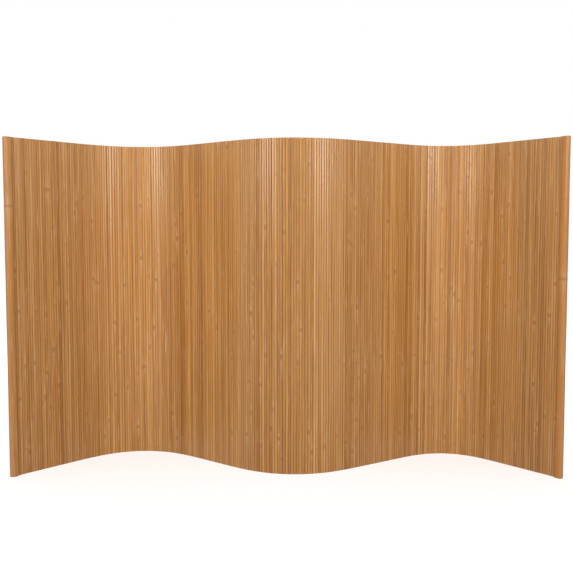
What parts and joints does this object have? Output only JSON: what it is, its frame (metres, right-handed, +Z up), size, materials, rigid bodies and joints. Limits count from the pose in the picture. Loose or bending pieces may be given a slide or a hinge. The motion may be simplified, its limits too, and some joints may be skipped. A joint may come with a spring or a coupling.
{
  "type": "roll-up room divider",
  "caption": "Roll-up room divider: narrow upright bamboo slats on a woven backing cloth, clamped between battens at each end. It stands in a wave and rolls up for storage.",
  "frame": {"origin": "on the floor, in the middle of the space that the standing wave takes", "axes": "+X along the screen to the right as seen from the slat side, +Y towards the cloth side, +Z up"},
  "size_m": [1.9968, 0.3762, 1.2192],
  "materials": {
    "bamboo_slats": "satin lacquered bamboo, honey to brown, each slat its own tone",
    "bamboo_battens": "satin lacquered bamboo",
    "backing_cloth": "plain woven cloth, matt",
    "screw_steel": "zinc-plated steel"
  },
  "bodies": {
    "left_end": {"left_front_batten": "bamboo_battens", "left_rear_batten": "bamboo_battens", "left_batten_screws": "screw_steel"},
    "panel_01": {"slats_01": "bamboo_slats"},
    "panel_02": {"slats_02": "bamboo_slats"},
    "panel_03": {"slats_03": "bamboo_slats"},
    "panel_04": {"slats_04": "bamboo_slats"},
    "panel_05": {"slats_05": "bamboo_slats"},
    "panel_06": {"slats_06": "bamboo_slats"},
    "panel_07": {"slats_07": "bamboo_slats"},
    "panel_08": {"slats_08": "bamboo_slats"},
    "panel_09": {"slats_09": "bamboo_slats"},
    "panel_10": {"slats_10": "bamboo_slats"},
    "panel_11": {"slats_11": "bamboo_slats"},
    "panel_12": {"slats_12": "bamboo_slats"},
    "panel_13": {"slats_13": "bamboo_slats"},
    "panel_14": {"slats_14": "bamboo_slats"},
    "panel_15": {"slats_15": "bamboo_slats"},
    "panel_16": {"slats_16": "bamboo_slats"},
    "panel_17": {"slats_17": "bamboo_slats"},
    "panel_18": {"slats_18": "bamboo_slats"},
    "panel_19": {"slats_19": "bamboo_slats"},
    "panel_20": {"slats_20": "bamboo_slats"},
    "panel_21": {"slats_21": "bamboo_slats"},
    "panel_22": {"slats_22": "bamboo_slats"},
    "panel_23": {"slats_23": "bamboo_slats"},
    "panel_24": {"slats_24": "bamboo_slats"},
    "panel_25": {"slats_25": "bamboo_slats", "backing_cloth": "backing_cloth"},
    "panel_26": {"slats_26": "bamboo_slats"},
    "panel_27": {"slats_27": "bamboo_slats"},
    "panel_28": {"slats_28": "bamboo_slats"},
    "panel_29": {"slats_29": "bamboo_slats"},
    "panel_30": {"slats_30": "bamboo_slats"},
    "panel_31": {"slats_31": "bamboo_slats"},
    "panel_32": {"slats_32": "bamboo_slats"},
    "panel_33": {"slats_33": "bamboo_slats"},
    "panel_34": {"slats_34": "bamboo_slats"},
    "panel_35": {"slats_35": "bamboo_slats"},
    "panel_36": {"slats_36": "bamboo_slats"},
    "panel_37": {"slats_37": "bamboo_slats"},
    "panel_38": {"slats_38": "bamboo_slats"},
    "panel_39": {"slats_39": "bamboo_slats"},
    "panel_40": {"slats_40": "bamboo_slats"},
    "panel_41": {"slats_41": "bamboo_slats"},
    "panel_42": {"slats_42": "bamboo_slats"},
    "panel_43": {"slats_43": "bamboo_slats"},
    "panel_44": {"slats_44": "bamboo_slats"},
    "panel_45": {"slats_45": "bamboo_slats"},
    "panel_46": {"slats_46": "bamboo_slats"},
    "panel_47": {"slats_47": "bamboo_slats"},
    "panel_48": {"slats_48": "bamboo_slats"},
    "right_end": {"right_front_batten": "bamboo_battens", "right_rear_batten": "bamboo_battens", "right_batten_screws": "screw_steel"}
  },
  "joints": [
    {"name": "bend_01", "type": "hinge", "parent": "panel_01", "child": "left_end", "pos_m": [-0.97571, -0.14136, 0.6096], "axis": [0, 0, -1], "range_deg": [-4.5, 77.4], "deforming": ["backing_cloth"]},
    {"name": "bend_02", "type": "hinge", "parent": "panel_02", "child": "panel_01", "pos_m": [-0.94198, -0.10377, 0.6096], "axis": [0, 0, -1], "range_deg": [-4.5, 46.2], "deforming": ["backing_cloth"]},
    {"name": "bend_03", "type": "hinge", "parent": "panel_03", "child": "panel_02", "pos_m": [-0.90886, -0.06685, 0.6096], "axis": [0, 0, -1], "range_deg": [-4.5, 45.1], "deforming": ["backing_cloth"]},
    {"name": "bend_04", "type": "hinge", "parent": "panel_04", "child": "panel_03", "pos_m": [-0.87573, -0.02994, 0.6096], "axis": [0, 0, -1], "range_deg": [-4.5, 44.1], "deforming": ["backing_cloth"]},
    {"name": "bend_05", "type": "hinge", "parent": "panel_05", "child": "panel_04", "pos_m": [-0.84261, 0.00698, 0.6096], "axis": [0, 0, -1], "range_deg": [-4.5, 43.2], "deforming": ["backing_cloth"]},
    {"name": "bend_06", "type": "hinge", "parent": "panel_06", "child": "panel_05", "pos_m": [-0.80948, 0.0439, 0.6096], "axis": [0, 0, -1], "range_deg": [-4.4, 43.1], "deforming": ["backing_cloth"]},
    {"name": "bend_07", "type": "hinge", "parent": "panel_07", "child": "panel_06", "pos_m": [-0.77589, 0.08039, 0.6096], "axis": [0, 0, -1], "range_deg": [-3.8, 45.1], "deforming": ["backing_cloth"]},
    {"name": "bend_08", "type": "hinge", "parent": "panel_08", "child": "panel_07", "pos_m": [-0.74009, 0.11469, 0.6096], "axis": [0, 0, -1], "range_deg": [-3.2, 47.3], "deforming": ["backing_cloth"]},
    {"name": "bend_09", "type": "hinge", "parent": "panel_09", "child": "panel_08", "pos_m": [-0.70063, 0.14468, 0.6096], "axis": [0, 0, -1], "range_deg": [-2.7, 49], "deforming": ["backing_cloth"]},
    {"name": "bend_10", "type": "hinge", "parent": "panel_10", "child": "panel_09", "pos_m": [-0.65697, 0.1681, 0.6096], "axis": [0, 0, -1], "range_deg": [-2.3, 50.1], "deforming": ["backing_cloth"]},
    {"name": "bend_11", "type": "hinge", "parent": "panel_11", "child": "panel_10", "pos_m": [-0.60972, 0.18291, 0.6096], "axis": [0, 0, -1], "range_deg": [-2.1, 50.4], "deforming": ["backing_cloth"]},
    {"name": "bend_12", "type": "hinge", "parent": "panel_12", "child": "panel_11", "pos_m": [-0.56044, 0.18775, 0.6096], "axis": [0, 0, -1], "range_deg": [-2.1, 49.9], "deforming": ["backing_cloth"]},
    {"name": "bend_13", "type": "hinge", "parent": "panel_13", "child": "panel_12", "pos_m": [-0.51122, 0.18232, 0.6096], "axis": [0, 0, -1], "range_deg": [-2.3, 48.5], "deforming": ["backing_cloth"]},
    {"name": "bend_14", "type": "hinge", "parent": "panel_14", "child": "panel_13", "pos_m": [-0.46395, 0.16752, 0.6096], "axis": [0, 0, -1], "range_deg": [-2.6, 46.3], "deforming": ["backing_cloth"]},
    {"name": "bend_15", "type": "hinge", "parent": "panel_15", "child": "panel_14", "pos_m": [-0.41974, 0.14513, 0.6096], "axis": [0, 0, -1], "range_deg": [-3.1, 43.4], "deforming": ["backing_cloth"]},
    {"name": "bend_16", "type": "hinge", "parent": "panel_16", "child": "panel_15", "pos_m": [-0.37863, 0.11741, 0.6096], "axis": [0, 0, -1], "range_deg": [-3.6, 40], "deforming": ["backing_cloth"]},
    {"name": "bend_17", "type": "hinge", "parent": "panel_17", "child": "panel_16", "pos_m": [-0.33969, 0.08671, 0.6096], "axis": [0, 0, -1], "range_deg": [-4.3, 36.5], "deforming": ["backing_cloth"]},
    {"name": "bend_18", "type": "hinge", "parent": "panel_18", "child": "panel_17", "pos_m": [-0.3014, 0.05517, 0.6096], "axis": [0, 0, -1], "range_deg": [-4.5, 34.8], "deforming": ["backing_cloth"]},
    {"name": "bend_19", "type": "hinge", "parent": "panel_19", "child": "panel_18", "pos_m": [-0.26313, 0.02362, 0.6096], "axis": [0, 0, -1], "range_deg": [-4.5, 34.3], "deforming": ["backing_cloth"]},
    {"name": "bend_20", "type": "hinge", "parent": "panel_20", "child": "panel_19", "pos_m": [-0.22486, -0.00793, 0.6096], "axis": [0, 0, -1], "range_deg": [-4.5, 33.3], "deforming": ["backing_cloth"]},
    {"name": "bend_21", "type": "hinge", "parent": "panel_21", "child": "panel_20", "pos_m": [-0.18627, -0.03909, 0.6096], "axis": [0, 0, -1], "range_deg": [-5.1, 30.5], "deforming": ["backing_cloth"]},
    {"name": "bend_22", "type": "hinge", "parent": "panel_22", "child": "panel_21", "pos_m": [-0.14613, -0.06821, 0.6096], "axis": [0, 0, -1], "range_deg": [-5.6, 27.6], "deforming": ["backing_cloth"]},
    {"name": "bend_23", "type": "hinge", "parent": "panel_23", "child": "panel_22", "pos_m": [-0.10342, -0.09337, 0.6096], "axis": [0, 0, -1], "range_deg": [-6, 25.1], "deforming": ["backing_cloth"]},
    {"name": "bend_24", "type": "hinge", "parent": "panel_24", "child": "panel_23", "pos_m": [-0.05779, -0.11271, 0.6096], "axis": [0, 0, -1], "range_deg": [-6.3, 23.2], "deforming": ["backing_cloth"]},
    {"name": "bend_25", "type": "hinge", "parent": "panel_25", "child": "panel_24", "pos_m": [-0.0097, -0.12461, 0.6096], "axis": [0, 0, -1], "range_deg": [-6.5, 21.9], "deforming": ["backing_cloth"]},
    {"name": "bend_26", "type": "hinge", "parent": "panel_25", "child": "panel_26", "pos_m": [0.03972, -0.12804, 0.6096], "axis": [0, 0, 1], "range_deg": [-6.5, 21.5], "deforming": ["backing_cloth"]},
    {"name": "bend_27", "type": "hinge", "parent": "panel_26", "child": "panel_27", "pos_m": [0.08899, -0.12282, 0.6096], "axis": [0, 0, 1], "range_deg": [-6.4, 21.8], "deforming": ["backing_cloth"]},
    {"name": "bend_28", "type": "hinge", "parent": "panel_27", "child": "panel_28", "pos_m": [0.13675, -0.10963, 0.6096], "axis": [0, 0, 1], "range_deg": [-6.1, 22.8], "deforming": ["backing_cloth"]},
    {"name": "bend_29", "type": "hinge", "parent": "panel_28", "child": "panel_29", "pos_m": [0.18222, -0.08989, 0.6096], "axis": [0, 0, 1], "range_deg": [-5.7, 24.4], "deforming": ["backing_cloth"]},
    {"name": "bend_30", "type": "hinge", "parent": "panel_29", "child": "panel_30", "pos_m": [0.22535, -0.06543, 0.6096], "axis": [0, 0, 1], "range_deg": [-5.2, 26.5], "deforming": ["backing_cloth"]},
    {"name": "bend_31", "type": "hinge", "parent": "panel_30", "child": "panel_31", "pos_m": [0.26683, -0.03824, 0.6096], "axis": [0, 0, 1], "range_deg": [-4.7, 28.8], "deforming": ["backing_cloth"]},
    {"name": "bend_32", "type": "hinge", "parent": "panel_31", "child": "panel_32", "pos_m": [0.30776, -0.01023, 0.6096], "axis": [0, 0, 1], "range_deg": [-4.5, 29.6], "deforming": ["backing_cloth"]},
    {"name": "bend_33", "type": "hinge", "parent": "panel_32", "child": "panel_33", "pos_m": [0.34869, 0.01779, 0.6096], "axis": [0, 0, 1], "range_deg": [-4.5, 29.3], "deforming": ["backing_cloth"]},
    {"name": "bend_34", "type": "hinge", "parent": "panel_33", "child": "panel_34", "pos_m": [0.38961, 0.04582, 0.6096], "axis": [0, 0, 1], "range_deg": [-4.5, 29], "deforming": ["backing_cloth"]},
    {"name": "bend_35", "type": "hinge", "parent": "panel_34", "child": "panel_35", "pos_m": [0.43054, 0.07384, 0.6096], "axis": [0, 0, 1], "range_deg": [-4.5, 29.2], "deforming": ["backing_cloth"]},
    {"name": "bend_36", "type": "hinge", "parent": "panel_35", "child": "panel_36", "pos_m": [0.47168, 0.10155, 0.6096], "axis": [0, 0, 1], "range_deg": [-3.7, 32.6], "deforming": ["backing_cloth"]},
    {"name": "bend_37", "type": "hinge", "parent": "panel_36", "child": "panel_37", "pos_m": [0.51468, 0.1262, 0.6096], "axis": [0, 0, 1], "range_deg": [-2.7, 37.1], "deforming": ["backing_cloth"]},
    {"name": "bend_38", "type": "hinge", "parent": "panel_37", "child": "panel_38", "pos_m": [0.56093, 0.14393, 0.6096], "axis": [0, 0, 1], "range_deg": [-2, 40.4], "deforming": ["backing_cloth"]},
    {"name": "bend_39", "type": "hinge", "parent": "panel_38", "child": "panel_39", "pos_m": [0.60987, 0.15126, 0.6096], "axis": [0, 0, 1], "range_deg": [-1.6, 42.2], "deforming": ["backing_cloth"]},
    {"name": "bend_40", "type": "hinge", "parent": "panel_39", "child": "panel_40", "pos_m": [0.65907, 0.14612, 0.6096], "axis": [0, 0, 1], "range_deg": [-1.5, 42.2], "deforming": ["backing_cloth"]},
    {"name": "bend_41", "type": "hinge", "parent": "panel_40", "child": "panel_41", "pos_m": [0.70536, 0.12866, 0.6096], "axis": [0, 0, 1], "range_deg": [-1.9, 40.3], "deforming": ["backing_cloth"]},
    {"name": "bend_42", "type": "hinge", "parent": "panel_41", "child": "panel_42", "pos_m": [0.74655, 0.10117, 0.6096], "axis": [0, 0, 1], "range_deg": [-2.5, 36.8], "deforming": ["backing_cloth"]},
    {"name": "bend_43", "type": "hinge", "parent": "panel_42", "child": "panel_43", "pos_m": [0.7825, 0.06705, 0.6096], "axis": [0, 0, 1], "range_deg": [-3.4, 32.1], "deforming": ["backing_cloth"]},
    {"name": "bend_44", "type": "hinge", "parent": "panel_43", "child": "panel_44", "pos_m": [0.81518, 0.02974, 0.6096], "axis": [0, 0, 1], "range_deg": [-4.5, 27.5], "deforming": ["backing_cloth"]},
    {"name": "bend_45", "type": "hinge", "parent": "panel_44", "child": "panel_45", "pos_m": [0.84726, -0.00808, 0.6096], "axis": [0, 0, 1], "range_deg": [-4.5, 26.4], "deforming": ["backing_cloth"]},
    {"name": "bend_46", "type": "hinge", "parent": "panel_45", "child": "panel_46", "pos_m": [0.87934, -0.04591, 0.6096], "axis": [0, 0, 1], "range_deg": [-4.5, 26.2], "deforming": ["backing_cloth"]},
    {"name": "bend_47", "type": "hinge", "parent": "panel_46", "child": "panel_47", "pos_m": [0.91142, -0.08374, 0.6096], "axis": [0, 0, 1], "range_deg": [-4.5, 26], "deforming": ["backing_cloth"]},
    {"name": "bend_48", "type": "hinge", "parent": "panel_47", "child": "panel_48", "pos_m": [0.9435, -0.12157, 0.6096], "axis": [0, 0, 1], "range_deg": [-4.5, 25.8], "deforming": ["backing_cloth"]},
    {"name": "bend_49", "type": "hinge", "parent": "panel_48", "child": "right_end", "pos_m": [0.97617, -0.16008, 0.6096], "axis": [0, 0, 1], "range_deg": [-4.5, 3.6], "deforming": ["backing_cloth"]}
  ]
}
